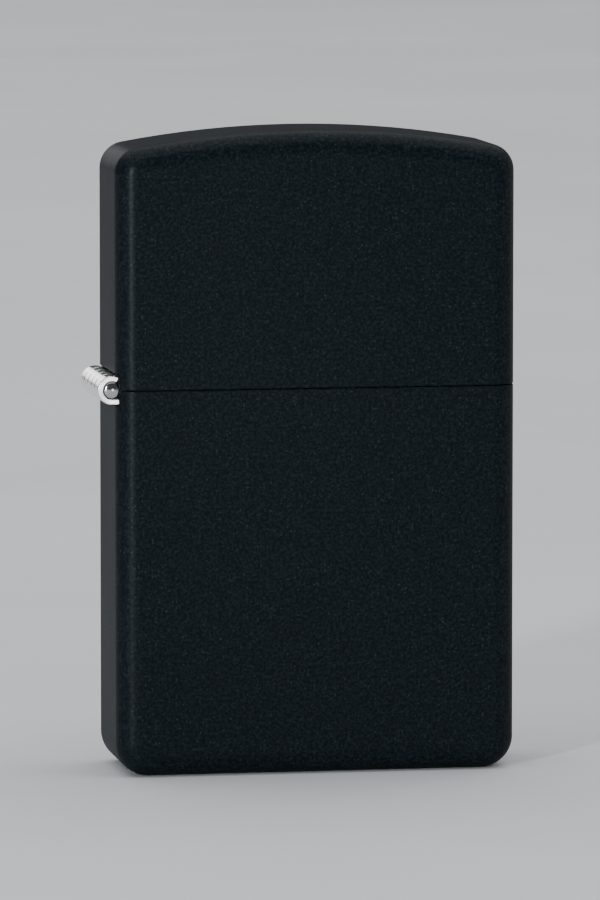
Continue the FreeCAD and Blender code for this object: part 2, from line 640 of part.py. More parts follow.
# ---------------------------------------------------------------- cam and its leaf spring
# The nose points up towards the hinge; the hub stays on the leaf spring through the whole turn.
cam = new_body("cam")
nose_x, nose_z = "-cam_reach * cam_lean", "cam_reach * cam_climb"
cam_side = outline(cam, "cam_neck", "XZ_Plane", [
    ("-cam_hub_r * cam_climb", "-cam_hub_r * cam_lean"),
    ("cam_hub_r * cam_climb", "cam_hub_r * cam_lean"),
    (f"{nose_x} + cam_nose_r * cam_climb", f"{nose_z} + cam_nose_r * cam_lean"),
    (f"{nose_x} - cam_nose_r * cam_climb", f"{nose_z} - cam_nose_r * cam_lean"),
])
pad_both_ways(cam, "cam_neck_pad", cam_side, "2 * cam_half")
for part_of, across, up, radius in (("hub", "0", "0", "cam_hub_r"), ("nose", nose_x, nose_z, "cam_nose_r")):
    ring = new_sketch(cam, f"cam_{part_of}_circle", "XZ_Plane")
    circle(ring, across, up, radius)
    pad_both_ways(cam, f"cam_{part_of}_pad", ring, "2 * cam_half")
pivot = new_sketch(cam, "cam_pivot_circle", "XZ_Plane")
circle(pivot, "0", "0", "cam_rivet_r + cam_fit")
cam_bore = cam.newObject("PartDesign::Pocket", "cam_bore")
cam_bore.Profile = pivot
cam_bore.SideType = "Symmetric"
bind(cam_bore, "Length", "4 * cam_half")
cam.Tip = cam_bore
place(cam, "cam_x", "0", "cam_z")

cam_spring_body = new_body("cam_spring_strip")
touch = "cam_rise - cam_hub_r - leaf_spring_clear"
strip_side = outline(cam_spring_body, "strip_side", "XZ_Plane", [
    ("-spring_rivet_out - strip_tip", f"{touch} - leaf_spring_t"),
    ("-spring_rivet_out + strip_rise", f"{touch} - leaf_spring_t"),
    ("-strip_seat", "0"),
    ("cam_rivet_r * 2", "0"),
    ("cam_rivet_r * 2", "leaf_spring_t"),
    ("-strip_seat + strip_bend", "leaf_spring_t"),
    ("-spring_rivet_out + strip_rise + strip_bend", touch),
    ("-spring_rivet_out - strip_tip", touch),
])
pad_both_ways(cam_spring_body, "strip_pad", strip_side, "2 * leaf_spring_half")
place(cam_spring_body, "spring_rivet_x", "0", "plate_top")
cam_spring = cut("cam_spring", cam_spring_body, [
    post("strip_hole", "cam_rivet_r + rivet_fit", "spring_rivet_x", "0", ("plate_top - 1", "plate_top + 2")),
])
cam_spring_rivet = fuse("cam_spring_rivet", [
    post("spring_rivet_shank", "cam_rivet_r", "spring_rivet_x", "0", ("plate_under", "plate_top + leaf_spring_t")),
    post("spring_rivet_head", "small_head_r", "spring_rivet_x", "0",
         ("plate_top + leaf_spring_t", "plate_top + leaf_spring_t + head_t")),
    post("spring_rivet_tail", "small_head_r", "spring_rivet_x", "0", ("plate_under - head_t", "plate_under")),
])


# ---------------------------------------------------------------- wick, cotton and felt
# The wick comes down from the flame and is folded twice, so it has three upright runs.
def wick_turn(name, x, z, upper):
    """Half a ring of wick that joins two runs."""
    ring = doc.addObject("Part::Torus", name)
    bind(ring, "Radius1", "wick_bend")
    bind(ring, "Radius2", "wick_r")
    ring.Angle3 = 180
    lean = FreeCAD.Rotation(FreeCAD.Vector(1, 0, 0), 90 if upper else -90)
    ring.Placement = FreeCAD.Placement(FreeCAD.Vector(), lean)
    place(ring, x, "0", z)
    return ring


wick = fuse("wick", [
    post("wick_flame_run", "wick_r", "wick_x", "0", ("wick_low", "wick_top")),
    wick_turn("wick_lower_turn", "wick_x - wick_bend", "wick_low", False),
    post("wick_middle_run", "wick_r", "wick_x - 2 * wick_bend", "0", ("wick_low", "wick_high")),
    wick_turn("wick_upper_turn", "wick_x - 3 * wick_bend", "wick_high", True),
    post("wick_last_run", "wick_r", "wick_end_x", "0", ("felt_top + wick_floor", "wick_high")),
])


def lump(name, x, z):
    """One rounded lump of cotton, as deep as the tank lets it be."""
    depth = "tank_half - sheet_t - packing_clear"
    block = box(name + "_block", x, (f"-({depth})", depth), z)
    room = number(f"({x[1]}) - ({x[0]})")
    return rounded(name, block, min(number("packing_round"), number("lump_share") * room), every)


BESIDE = "wick_r + packing_clear"
AT_WALL = "sheet_t + packing_clear - packing_swell"
LOW = "felt_top + packing_clear"
HIGH = "plate_under - packing_clear - head_t"
cotton = [
    lump("cotton_by_hinge", (f"tank_left + {AT_WALL}", f"wick_end_x - ({BESIDE}) + packing_lap"), (LOW, "wick_high")),
    lump("cotton_under_turn", (f"wick_end_x + {BESIDE}", f"wick_x - 2 * wick_bend - ({BESIDE})"),
         (LOW, "wick_high + wick_bend - wick_r - fold_clear")),
    lump("cotton_over_turn", (f"wick_x - 2 * wick_bend + {BESIDE}", f"wick_x - ({BESIDE})"),
         ("wick_low - wick_bend + wick_r + fold_clear", HIGH)),
    lump("cotton_by_tube", (f"wick_x + {BESIDE}", "flint_x - tube_r - packing_clear"), (LOW, HIGH)),
    lump("cotton_at_end", ("flint_x + tube_r + packing_clear", f"tank_right - ({AT_WALL})"), (LOW, HIGH)),
]
cotton_packing = doc.addObject("Part::Compound", "cotton_packing")
cotton_packing.Links = cotton

felt_block = rounded_block("felt_block", ("tank_left + sheet_t + felt_clear", "tank_right - sheet_t - felt_clear"),
                           ("-(tank_half - sheet_t - felt_clear)", "tank_half - sheet_t - felt_clear"),
                           ("felt_bottom", "felt_top"), number("tank_round - sheet_t - felt_clear"))
felt_pad = cut("felt_pad", felt_block, [
    post("felt_hole", "felt_hole_r", "flint_x", "0", ("felt_bottom - 1", "felt_top + 1")),
])

# ---------------------------------------------------------------- check and write
doc.recompute()
NODES = [
    case_bottom, lid, hinge_leaf_case, hinge_leaf_lid, hinge_pin,
    insert_tank, chimney, flint_tube, flint, flint_plunger, flint_spring, flint_screw,
    flint_wheel, wheel_axle, cam, cam_rivet, cam_spring, cam_spring_rivet,
    wick, cotton_packing, felt_pad,
]
for item in doc.Objects:
    if "Invalid" in item.State or "Error" in item.State:
        raise RuntimeError(f"{item.Label} has failed: {item.State}")
for node in NODES:
    if node.Shape.isNull() or not node.Shape.isValid():
        raise RuntimeError(f"{node.Label} has no valid shape")

os.makedirs("parts", exist_ok=True)
for node in NODES:
    node.Shape.exportStep(f"parts/{node.Label}.step")
    size = node.Shape.BoundBox
    print(f"{node.Label}: {len(node.Shape.Solids)} solid, {node.Shape.Volume:.2f} mm3,"
          f" x {size.XMin:.2f} {size.XMax:.2f}, y {size.YMin:.2f} {size.YMax:.2f}, z {size.ZMin:.2f} {size.ZMax:.2f}")
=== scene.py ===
import bpy
import bmesh
import json
import math
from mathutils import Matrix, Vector, noise


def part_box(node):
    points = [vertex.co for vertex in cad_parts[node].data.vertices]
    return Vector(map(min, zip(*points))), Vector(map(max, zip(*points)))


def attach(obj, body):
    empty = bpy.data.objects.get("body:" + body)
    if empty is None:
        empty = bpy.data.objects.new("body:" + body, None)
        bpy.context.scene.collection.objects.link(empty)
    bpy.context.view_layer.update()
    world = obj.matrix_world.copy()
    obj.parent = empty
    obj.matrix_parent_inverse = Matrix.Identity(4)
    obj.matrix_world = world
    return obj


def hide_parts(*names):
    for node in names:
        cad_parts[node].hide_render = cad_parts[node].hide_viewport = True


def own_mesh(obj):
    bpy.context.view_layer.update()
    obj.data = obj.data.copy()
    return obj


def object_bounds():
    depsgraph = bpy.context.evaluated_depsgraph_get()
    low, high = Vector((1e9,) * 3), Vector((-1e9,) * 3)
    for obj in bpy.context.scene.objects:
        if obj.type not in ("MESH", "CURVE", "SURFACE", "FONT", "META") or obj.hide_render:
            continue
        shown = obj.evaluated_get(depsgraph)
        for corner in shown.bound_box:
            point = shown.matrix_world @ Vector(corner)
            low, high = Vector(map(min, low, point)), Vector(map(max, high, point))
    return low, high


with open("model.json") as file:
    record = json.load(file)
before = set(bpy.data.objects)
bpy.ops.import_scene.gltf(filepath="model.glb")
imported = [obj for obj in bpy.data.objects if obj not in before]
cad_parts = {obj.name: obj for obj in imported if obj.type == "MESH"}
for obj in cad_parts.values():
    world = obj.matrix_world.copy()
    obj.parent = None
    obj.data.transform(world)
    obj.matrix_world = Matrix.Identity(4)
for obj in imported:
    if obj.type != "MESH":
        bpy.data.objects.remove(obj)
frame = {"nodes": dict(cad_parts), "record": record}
cad_low, cad_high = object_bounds()

# ------------------------------------------------------------------ camera, floor and light
# The lighter stands on a plain pale floor, seen from a little above and from its hinge side
# with a long lens. Soft panels light it from above, from both sides, from behind and low in front.
mm = 0.001
view_azimuth = math.radians(-9.96)
view_elevation = math.radians(6.05)
view_distance = 0.678
view_lens = 304.0
aim = Vector((-0.55 * mm, 0, 28.27 * mm))
back = Vector((math.sin(view_azimuth) * math.cos(view_elevation),
               -math.cos(view_azimuth) * math.cos(view_elevation),
               math.sin(view_elevation)))
camera = bpy.data.objects.new("camera", bpy.data.cameras.new("camera"))
camera.data.lens = view_lens
camera.data.sensor_width = 36.0
camera.data.clip_start = 0.01
camera.data.clip_end = 20.0
camera.location = aim + back * view_distance
camera.rotation_mode = "QUATERNION"
camera.rotation_quaternion = (-back).to_track_quat("-Z", "Y")
bpy.context.scene.collection.objects.link(camera)
bpy.context.scene.camera = camera


def soft_panel(name, at, toward, size, watts, colour=(1, 1, 1)):
    """A rectangular soft box that shines from one point towards another."""
    lamp = bpy.data.lights.new(name, "AREA")
    lamp.shape = "RECTANGLE"
    lamp.size, lamp.size_y = size
    lamp.energy = watts
    lamp.color = colour
    panel = bpy.data.objects.new(name, lamp)
    panel.location = at
    panel.rotation_mode = "QUATERNION"
    panel.rotation_quaternion = (Vector(toward) - Vector(at)).to_track_quat("-Z", "Y")
    bpy.context.scene.collection.objects.link(panel)


body_middle = (0, 0, 30 * mm)
low_front_at = (0.027, -0.26, 0.022)
knuckles = (-18 * mm, -6 * mm, 34 * mm)
cool = (0.90, 0.96, 1.0)
soft_panel("overhead", (0, 0.7, 1.5), (0, 0.7, 0), size=(3.0, 3.0), watts=46.0)
soft_panel("left_strip", (-0.43, -0.56, 0.16), body_middle, size=(0.045, 0.32), watts=4.2, colour=cool)
soft_panel("right_fill", (0.62, -0.12, 0.27), body_middle, size=(0.60, 0.50), watts=0.9)
soft_panel("back_right", (0.55, 0.40, 0.25), body_middle, size=(0.12, 0.5), watts=0.35)
soft_panel("back_card", (-0.30, 3.0, 0.46), body_middle, size=(0.60, 0.88), watts=4.6)
soft_panel("low_front", low_front_at, knuckles, size=(0.03, 0.04), watts=0.016)

world = bpy.data.worlds.new("studio")
world.use_nodes = True
world.node_tree.nodes["Background"].inputs["Color"].default_value = (0.86, 0.90, 0.95, 1)
world.node_tree.nodes["Background"].inputs["Strength"].default_value = 0.10
bpy.context.scene.world = world


def new_material(name):
    """A material with its node tree and its Principled shader."""
    material = bpy.data.materials.new(name)
    material.use_nodes = True
    tree = material.node_tree
    return material, tree, tree.nodes["Principled BSDF"]


def node(tree, kind, **settings):
    """A new node with the given properties and inputs."""
    made = tree.nodes.new("ShaderNode" + kind)
    for name, value in settings.items():
        if hasattr(made, name):
            setattr(made, name, value)
        else:
            made.inputs[name.replace("_", " ")].default_value = value
    return made


def effect(name, inputs, outputs):
    """An empty shader group with named inputs, their usual values, and named outputs."""
    tree = bpy.data.node_groups.new(name, "ShaderNodeTree")
    for label, kind, usual in inputs:
        socket = tree.interface.new_socket(label, in_out="INPUT", socket_type="NodeSocket" + kind)
        socket.default_value = usual
    for label, kind in outputs:
        tree.interface.new_socket(label, in_out="OUTPUT", socket_type="NodeSocket" + kind)
    return tree, tree.nodes.new("NodeGroupInput"), tree.nodes.new("NodeGroupOutput")


def use(tree, group, **values):
    """A placed effect with its own values."""
    placed = tree.nodes.new("ShaderNodeGroup")
    placed.node_tree = group
    for name, value in values.items():
        placed.inputs[name.replace("_", " ")].default_value = value
    return placed


# Cloud: broad soft variation, used on every surface so that none is one even tone.
cloud, cloud_in, cloud_out = effect(
    "cloud", [("Size", "Float", 120.0), ("Low", "Float", 0.0), ("High", "Float", 1.0)],
    [("Value", "Float")])
place = node(cloud, "TexCoord")
drift = node(cloud, "TexNoise", Detail=4.0, Roughness=0.55)
spread = node(cloud, "MapRange", From_Min=0.3, From_Max=0.7)
cloud.links.new(place.outputs["Object"], drift.inputs["Vector"])
cloud.links.new(cloud_in.outputs["Size"], drift.inputs["Scale"])
cloud.links.new(drift.outputs["Fac"], spread.inputs["Value"])
cloud.links.new(cloud_in.outputs["Low"], spread.inputs["To Min"])
cloud.links.new(cloud_in.outputs["High"], spread.inputs["To Max"])
cloud.links.new(spread.outputs["Result"], cloud_out.inputs["Value"])


def two_tone(tree, share, first, second):
    """A colour that goes from the first tone to the second as the share goes from nought to one."""
    tone = node(tree, "Mix", data_type="RGBA")
    tone.inputs["A"].default_value = (*first, 1)
    tone.inputs["B"].default_value = (*second, 1)
    tree.links.new(share, tone.inputs["Factor"])
    return tone


floor_mesh = bpy.data.meshes.new("floor")
reach = 6.0
floor_corners = [(-reach, -reach, 0), (reach, -reach, 0), (reach, reach, 0), (-reach, reach, 0)]
floor_mesh.from_pydata(floor_corners, [], [(0, 1, 2, 3)])
floor = bpy.data.objects.new("floor", floor_mesh)
floor.location.z = cad_low.z
bpy.context.scene.collection.objects.link(floor)
paper, tree, shader = new_material("pale_paper")
mottle = use(tree, cloud, Size=9.0)
tone = two_tone(tree, mottle.outputs["Value"], (0.60, 0.61, 0.62), (0.66, 0.67, 0.68))
tree.links.new(tone.outputs["Result"], shader.inputs["Base Color"])
shader.inputs["Roughness"].default_value = 0.85
floor_mesh.materials.append(paper)

# ------------------------------------------------------------------ case and lid
# Two drawn brass shells with a baked, fine-grained black powder coat outside. Their inside is
# bare nickel plate, and the two rims meet in a thin seam.

# Powder grain: a fine pebbled relief, and sparse bright dots in the colour that are painted glints of
# light off the grain.
powder, powder_in, powder_out = effect(
    "powder_grain_and_glints", [("Grain", "Float", 3800.0), ("Flecks", "Float", 3300.0)],
    [("Grain_and_glints", "Float"), ("Height", "Float")])
place = node(powder, "TexCoord")
fine = node(powder, "TexNoise", Detail=2.0, Roughness=0.6)
powder.links.new(place.outputs["Object"], fine.inputs["Vector"])
powder.links.new(powder_in.outputs["Grain"], fine.inputs["Scale"])
# Painted glints: sparse Voronoi dots that lighten the coat's colour where light would glint off the
# grain.
dots = node(powder, "TexVoronoi")
powder.links.new(place.outputs["Object"], dots.inputs["Vector"])
powder.links.new(powder_in.outputs["Flecks"], dots.inputs["Scale"])
near = node(powder, "MapRange", From_Min=0.32, From_Max=0.10)
powder.links.new(dots.outputs["Distance"], near.inputs["Value"])
pick = node(powder, "SeparateColor")
powder.links.new(dots.outputs["Color"], pick.inputs["Color"])
chosen = node(powder, "MapRange", From_Min=0.55, From_Max=1.0)
powder.links.new(pick.outputs["Red"], chosen.inputs["Value"])
painted_glint = node(powder, "Math", operation="MULTIPLY")
powder.links.new(near.outputs["Result"], painted_glint.inputs[0])
powder.links.new(chosen.outputs["Result"], painted_glint.inputs[1])
even = node(powder, "MapRange", From_Min=0.42, From_Max=0.79, To_Max=0.52)
powder.links.new(fine.outputs["Fac"], even.inputs["Value"])
grain_and_glints = node(powder, "Math", operation="ADD", use_clamp=True)
powder.links.new(painted_glint.outputs["Value"], grain_and_glints.inputs[0])
powder.links.new(even.outputs["Result"], grain_and_glints.inputs[1])
powder.links.new(grain_and_glints.outputs["Value"], powder_out.inputs["Grain_and_glints"])
powder.links.new(fine.outputs["Fac"], powder_out.inputs["Height"])

# Inner side: one where a shell's surface faces the shell's own middle, nought outside.
inner_side, inner_in, inner_out = effect(
    "inner_side", [("Middle", "Vector", (0, 0, 0))], [("Mask", "Float")])
place = node(inner_side, "TexCoord")
outward = node(inner_side, "VectorMath", operation="SUBTRACT")
inner_side.links.new(place.outputs["Object"], outward.inputs[0])
inner_side.links.new(inner_in.outputs["Middle"], outward.inputs[1])
facing = node(inner_side, "VectorMath", operation="DOT_PRODUCT")
inner_side.links.new(outward.outputs["Vector"], facing.inputs[0])
inner_side.links.new(place.outputs["Normal"], facing.inputs[1])
turned = node(inner_side, "Math", operation="LESS_THAN")
turned.inputs[1].default_value = 0.0
inner_side.links.new(facing.outputs["Value"], turned.inputs[0])
inner_side.links.new(turned.outputs["Value"], inner_out.inputs["Mask"])

# Brushed lines: long fine scratches along one direction.
brushed, brushed_in, brushed_out = effect(
    "brushed_lines", [("Stretch", "Vector", (400, 6000, 6000))], [("Value", "Float")])
place = node(brushed, "TexCoord")
stretch = node(brushed, "VectorMath", operation="MULTIPLY")
brushed.links.new(place.outputs["Object"], stretch.inputs[0])
brushed.links.new(brushed_in.outputs["Stretch"], stretch.inputs[1])
lines = node(brushed, "TexNoise", Scale=1.0, Detail=3.0, Roughness=0.65)
brushed.links.new(stretch.outputs["Vector"], lines.inputs["Vector"])
brushed.links.new(lines.outputs["Fac"], brushed_out.inputs["Value"])


def raised(tree, shader, height, strength, distance):
    """Lets a height stand out on the surface as relief."""
    bump = node(tree, "Bump", Strength=strength, Distance=distance)
    tree.links.new(height, bump.inputs["Height"])
    tree.links.new(bump.outputs["Normal"], shader.inputs["Normal"])


def coated_shell(name, shell_middle):
    """Black powder coat outside and bare nickel plate inside."""
    material, tree, shader = new_material(name)
    links = tree.links
    inside = use(tree, inner_side, Middle=shell_middle)
    grain = use(tree, powder, Grain=3800.0, Flecks=3300.0)
    smudge = use(tree, cloud, Size=70.0, Low=0.59, High=0.66)
    # The coat's tone follows the grain, and its lightest spots are painted glints.
    coat = two_tone(tree, grain.outputs["Grain_and_glints"], (0.0004, 0.0025, 0.0042), (0.020, 0.032, 0.040))
    colour = node(tree, "Mix", data_type="RGBA")
    colour.inputs["B"].default_value = (0.50, 0.48, 0.44, 1)
    links.new(inside.outputs["Mask"], colour.inputs["Factor"])
    links.new(coat.outputs["Result"], colour.inputs["A"])
    links.new(colour.outputs["Result"], shader.inputs["Base Color"])
    links.new(inside.outputs["Mask"], shader.inputs["Metallic"])
    scratch = use(tree, brushed, Stretch=(6000, 6000, 300))
    plate_rough = node(tree, "MapRange", To_Min=0.22, To_Max=0.42)
    links.new(scratch.outputs["Value"], plate_rough.inputs["Value"])
    rough = node(tree, "Mix")
    links.new(inside.outputs["Mask"], rough.inputs["Factor"])
    links.new(smudge.outputs["Value"], rough.inputs["A"])
    links.new(plate_rough.outputs["Result"], rough.inputs["B"])
    links.new(rough.outputs["Result"], shader.inputs["Roughness"])
    relief = node(tree, "Mix")
    links.new(inside.outputs["Mask"], relief.inputs["Factor"])
    links.new(grain.outputs["Height"], relief.inputs["A"])
    links.new(scratch.outputs["Value"], relief.inputs["B"])
    raised(tree, shader, relief.outputs["Result"], strength=0.35, distance=0.03 * mm)
    shader.inputs["Specular IOR Level"].default_value = 0.06
    shader.inputs["Coat Weight"].default_value = 0.12
    shader.inputs["Coat Roughness"].default_value = 0.32
    return material


def finish_node(name, material):
    """Gives a carried-over part its material."""
    part = frame["nodes"][name]
    part.data.materials.clear()
    part.data.materials.append(material)


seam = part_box("case_bottom")[1].z
lid_middle_up = 10 * mm
finish_node("case_bottom", coated_shell("case_coat", (0, 0, seam / 2)))
finish_node("lid", coated_shell("lid_coat", (0, 0, seam + lid_middle_up)))

# ------------------------------------------------------------------ hinge
# A nickel-plated steel strip rolled into five knuckles round a pin. The pin's ends are domed and
# stand just inside the outer knuckles.
nickel, tree, shader = new_material("bright_nickel")
haze = use(tree, cloud, Size=900.0, Low=0.10, High=0.24)
tree.links.new(haze.outputs["Value"], shader.inputs["Roughness"])
stain = use(tree, cloud, Size=500.0)
tint = two_tone(tree, stain.outputs["Value"], (0.84, 0.835, 0.82), (0.95, 0.945, 0.935))
tree.links.new(tint.outputs["Result"], shader.inputs["Base Color"])
rolled = use(tree, brushed, Stretch=(5000, 700, 5000))
raised(tree, shader, rolled.outputs["Value"], strength=0.25, distance=0.01 * mm)
shader.inputs["Metallic"].default_value = 1.0


def softened(name, width, material, segments=2):
    """The part with its sharp edges broken, standing for the plain one."""
    weld = 0.001 * mm
    flat_angle = math.radians(0.5)
    edge_angle = math.radians(35)
    mesh = frame["nodes"][name].data.copy()
    mesh.name = name + "_finished"
    piece = bpy.data.objects.new(name + "_finished", mesh)
    bpy.context.scene.collection.objects.link(piece)
    shape = bmesh.new()
    shape.from_mesh(mesh)
    bmesh.ops.remove_doubles(shape, verts=shape.verts, dist=weld)
    bmesh.ops.dissolve_limit(shape, angle_limit=flat_angle, verts=shape.verts, edges=shape.edges)
    shape.to_mesh(mesh)
    shape.free()
    mesh.materials.clear()
    mesh.materials.append(material)
    mesh.shade_smooth()
    mesh.set_sharp_from_angle(angle=edge_angle)
    broken = piece.modifiers.new("broken_edges", "BEVEL")
    broken.width = width
    broken.segments = segments
    broken.limit_method = "ANGLE"
    broken.angle_limit = edge_angle
    broken.use_clamp_overlap = True
    broken.harden_normals = True
    for body, members in frame["record"]["behaviour"]["bodies"].items():
        if name in members:
            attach(piece, body)
    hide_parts(name)


softened("hinge_leaf_case", 0.09 * mm, nickel)
softened("hinge_leaf_lid", 0.09 * mm, nickel)


def ring_at(shape, middle, aside, front, radius, sides):
    """A circle of points round a middle, in the plane of two directions."""
    ring = []
    for side in range(sides):
        turn = 2 * math.pi * side / sides
        spoke = aside * math.cos(turn) + front * math.sin(turn)
        ring.append(shape.verts.new(middle + spoke * radius))
    return ring


def skinned(shape, rings, capped=True):
    """Faces from each ring of points to the next, and over the two ends."""
    for low, high in zip(rings, rings[1:]):
        for side in range(len(low)):
            after = (side + 1) % len(low)
            shape.faces.new((low[side], low[after], high[after], high[side]))
    if capped:
        shape.faces.new(reversed(rings[0]))
        shape.faces.new(rings[-1])


def made_piece(name, shape, material, body, crease=180):
    """The finished mesh as a piece on its body, smooth but for edges sharper than the crease."""
    bmesh.ops.recalc_face_normals(shape, faces=shape.faces)
    mesh = bpy.data.meshes.new(name)
    shape.to_mesh(mesh)
    shape.free()
    mesh.materials.append(material)
    mesh.shade_smooth()
    if crease < 180:
        mesh.set_sharp_from_angle(angle=math.radians(crease))
    piece = bpy.data.objects.new(name, mesh)
    bpy.context.scene.collection.objects.link(piece)
    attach(piece, body)
    return piece


pin_low, pin_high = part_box("hinge_pin")
pin_middle = Vector(((pin_low.x + pin_high.x) / 2, 0, (pin_low.z + pin_high.z) / 2))
pin_r = (pin_high.x - pin_low.x) / 2
pin_set_in = 0.10 * mm
pin_half = pin_high.y - pin_set_in
pin_sides = 48
dome = 0.22 * mm
dome_flat = 0.02 * mm
dome_steps = 8
pin_profile = []
for step in range(dome_steps + 1):
    lean = math.pi / 2 * step / dome_steps
    radius = max(pin_r * math.sin(lean), dome_flat)
    pin_profile.append((-pin_half - dome * math.cos(lean), radius))
pin_profile += [(-distance, radius) for distance, radius in reversed(pin_profile)]
pin_steel, tree, shader = new_material("polished_pin")
buff = use(tree, cloud, Size=1500.0, Low=0.08, High=0.20)
tree.links.new(buff.outputs["Value"], shader.inputs["Roughness"])
pin_tone = two_tone(tree, buff.outputs["Value"], (0.44, 0.44, 0.445), (0.62, 0.62, 0.625))
tree.links.new(pin_tone.outputs["Result"], shader.inputs["Base Color"])
shader.inputs["Metallic"].default_value = 1.0
along = Vector((0, 1, 0))
across = along.orthogonal().normalized()
over = along.cross(across)
shape = bmesh.new()
rings = []
for distance, radius in pin_profile:
    rings.append(ring_at(shape, pin_middle + along * distance, across, over, radius, pin_sides))
skinned(shape, rings)
pin = made_piece("hinge_pin_domed", shape, pin_steel, "case", crease=40)
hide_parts("hinge_pin")

# ------------------------------------------------------------------ insert: tank, screen and cam
# The tank, its top plate and the wind screen are folded and drawn stainless sheet with an upright
# brushed grain, a little heat-tinted round the flame. The cam that holds the lid and its leaf
# spring are stamped, and held by small rivets.
stainless, tree, shader = new_material("brushed_stainless")
place = node(tree, "TexCoord")
turned_to = node(tree, "SeparateXYZ")
tree.links.new(place.outputs["Normal"], turned_to.inputs["Vector"])
steep = node(tree, "Math", operation="ABSOLUTE")
tree.links.new(turned_to.outputs["Z"], steep.inputs[0])
level = node(tree, "MapRange", From_Min=0.6, From_Max=0.8)
tree.links.new(steep.outputs["Value"], level.inputs["Value"])
upright_lines = use(tree, brushed, Stretch=(5200, 5200, 240))
level_lines = use(tree, brushed, Stretch=(240, 5200, 5200))
grain = node(tree, "Mix")
tree.links.new(level.outputs["Result"], grain.inputs["Factor"])
tree.links.new(upright_lines.outputs["Value"], grain.inputs["A"])
tree.links.new(level_lines.outputs["Value"], grain.inputs["B"])
gloss = node(tree, "MapRange", From_Min=0.3, From_Max=0.7, To_Min=0.26, To_Max=0.42)
tree.links.new(grain.outputs["Result"], gloss.inputs["Value"])
tree.links.new(gloss.outputs["Result"], shader.inputs["Roughness"])
steel_tone = two_tone(tree, grain.outputs["Result"], (0.46, 0.455, 0.445), (0.62, 0.615, 0.60))
warm = node(tree, "Mix", data_type="RGBA")
warm.inputs["B"].default_value = (0.36, 0.29, 0.21, 1)
upward = node(tree, "SeparateXYZ")
tree.links.new(place.outputs["Object"], upward.inputs["Vector"])
screen_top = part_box("chimney")[1].z
heat_reach = 7 * mm
heat = node(tree, "MapRange", From_Min=screen_top - heat_reach, From_Max=screen_top, To_Max=0.35)
tree.links.new(upward.outputs["Z"], heat.inputs["Value"])
uneven = use(tree, cloud, Size=220.0)
heat_patch = node(tree, "Math", operation="MULTIPLY")
tree.links.new(heat.outputs["Result"], heat_patch.inputs[0])
tree.links.new(uneven.outputs["Value"], heat_patch.inputs[1])
tree.links.new(heat_patch.outputs["Value"], warm.inputs["Factor"])
tree.links.new(steel_tone.outputs["Result"], warm.inputs["A"])
tree.links.new(warm.outputs["Result"], shader.inputs["Base Color"])
raised(tree, shader, grain.outputs["Result"], strength=0.2, distance=0.01 * mm)
shader.inputs["Metallic"].default_value = 1.0
softened("insert_tank", 0.10 * mm, stainless)
softened("chimney", 0.08 * mm, stainless)
for rivet in ("wheel_axle", "cam_rivet", "cam_spring_rivet"):
    softened(rivet, 0.14 * mm, stainless, segments=3)
softened("cam", 0.12 * mm, stainless)
softened("cam_spring", 0.04 * mm, stainless)

# ------------------------------------------------------------------ flint and what pushes it up
# A dull grey rod of flint stands in a brass tube through the tank. The tube, the plunger and the
# slotted screw that closes it are turned, with fine lathe lines. The spring between plunger and
# screw is wound from drawn steel wire with closed ends.
brass, tree, shader = new_material("turned_brass")
lathe = use(tree, brushed, Stretch=(500, 500, 9000))
gloss = node(tree, "MapRange", From_Min=0.3, From_Max=0.7, To_Min=0.20, To_Max=0.40)
tree.links.new(lathe.outputs["Value"], gloss.inputs["Value"])
tree.links.new(gloss.outputs["Result"], shader.inputs["Roughness"])
patina = use(tree, cloud, Size=300.0)
brass_tone = two_tone(tree, patina.outputs["Value"], (0.52, 0.33, 0.11), (0.78, 0.56, 0.24))
tree.links.new(brass_tone.outputs["Result"], shader.inputs["Base Color"])
raised(tree, shader, lathe.outputs["Value"], strength=0.25, distance=0.01 * mm)
shader.inputs["Metallic"].default_value = 1.0
for turned in ("flint_tube", "flint_screw", "flint_plunger"):
    softened(turned, 0.10 * mm, brass)

ferro, tree, shader = new_material("flint_rod")
crumb = use(tree, cloud, Size=3500.0)
rod_tone = two_tone(tree, crumb.outputs["Value"], (0.045, 0.045, 0.05), (0.17, 0.165, 0.16))
tree.links.new(rod_tone.outputs["Result"], shader.inputs["Base Color"])
raised(tree, shader, crumb.outputs["Value"], strength=0.5, distance=0.04 * mm)
shader.inputs["Roughness"].default_value = 0.6
shader.inputs["Metallic"].default_value = 0.4
softened("flint", 0.10 * mm, ferro)

wire, tree, shader = new_material("spring_wire")
drawn = use(tree, cloud, Size=1500.0, Low=0.22, High=0.42)
tree.links.new(drawn.outputs["Value"], shader.inputs["Roughness"])
wire_tone = two_tone(tree, drawn.outputs["Value"], (0.34, 0.34, 0.35), (0.52, 0.52, 0.53))
tree.links.new(wire_tone.outputs["Result"], shader.inputs["Base Color"])
shader.inputs["Metallic"].default_value = 1.0
coil_low, coil_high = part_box("flint_spring")
coil_foot = Vector(((coil_low.x + coil_high.x) / 2, 0, coil_low.z))
coil_length = coil_high.z - coil_low.z
wire_r = 0.175 * mm
wire_sides = 10
coil_r = (coil_high.x - coil_low.x) / 2 - wire_r
closed_turns = 2
open_turns = 18
steps_a_turn = 28
closed_rise = 2.05 * wire_r
open_rise = (coil_length - 2 * wire_r - 2 * closed_turns * closed_rise) / open_turns


def coil_height(turn):
    """Height of the wire's middle over the spring's foot: closed at both ends, open between."""
    low_end = min(turn, closed_turns) * closed_rise
    between = min(max(turn - closed_turns, 0), open_turns) * open_rise
    high_end = max(turn - closed_turns - open_turns, 0) * closed_rise
    return wire_r + low_end + between + high_end


